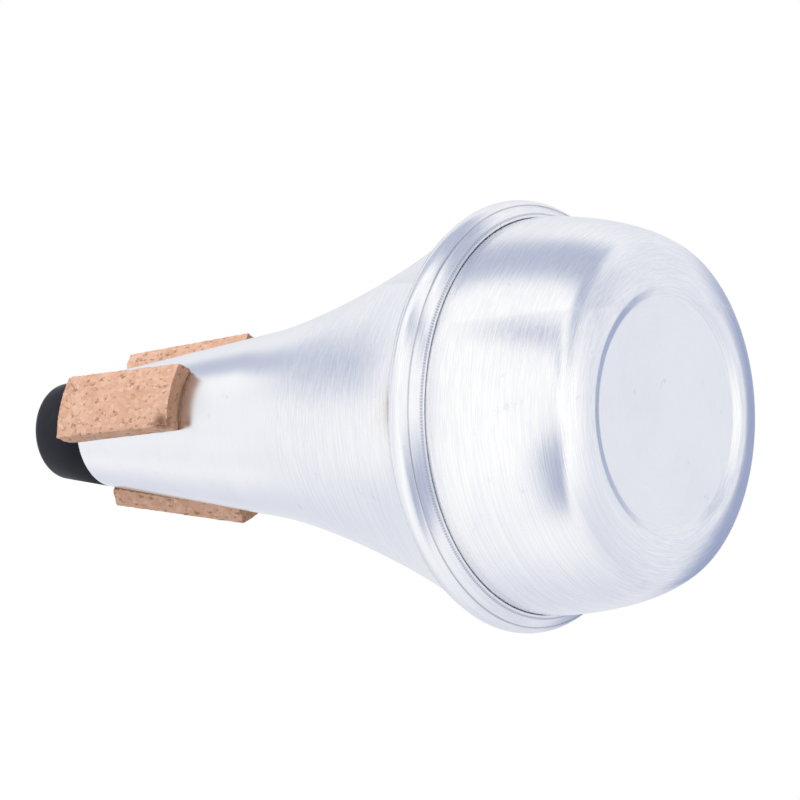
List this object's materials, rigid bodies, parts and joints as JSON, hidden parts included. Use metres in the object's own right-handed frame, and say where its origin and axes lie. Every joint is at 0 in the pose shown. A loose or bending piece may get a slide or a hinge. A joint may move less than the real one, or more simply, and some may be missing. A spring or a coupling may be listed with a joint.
{
  "type": "trumpet straight mute",
  "caption": "Flared aluminium straight mute for a trumpet, with a rounded bottom bowl rolled to its rim, cork pads along the neck and a black end ring with an open bore.",
  "frame": {"origin": "centre of the foot ring's rest plane, on the mute's axis", "axes": "+Z along the axis to the narrow end; +X and +Y across it, with cork pad 1 at azimuth -69 degrees from +X"},
  "size_m": [0.105, 0.105, 0.1906],
  "materials": {
    "aluminium": "bright spun aluminium with fine brushing around the axis",
    "cork": "raw sheet cork with open grain",
    "black_plastic": "smooth satin black",
    "contact_glue": "thin amber contact glue"
  },
  "bodies": {
    "root": {"cone_body": "aluminium", "bottom_bowl": "aluminium", "end_ring": "black_plastic", "end_ring_glue": "contact_glue", "cork_pad_1": "cork", "cork_pad_2": "cork", "cork_pad_3": "cork", "cork_glue_1": "contact_glue", "cork_glue_2": "contact_glue", "cork_glue_3": "contact_glue"}
  },
  "joints": []
}
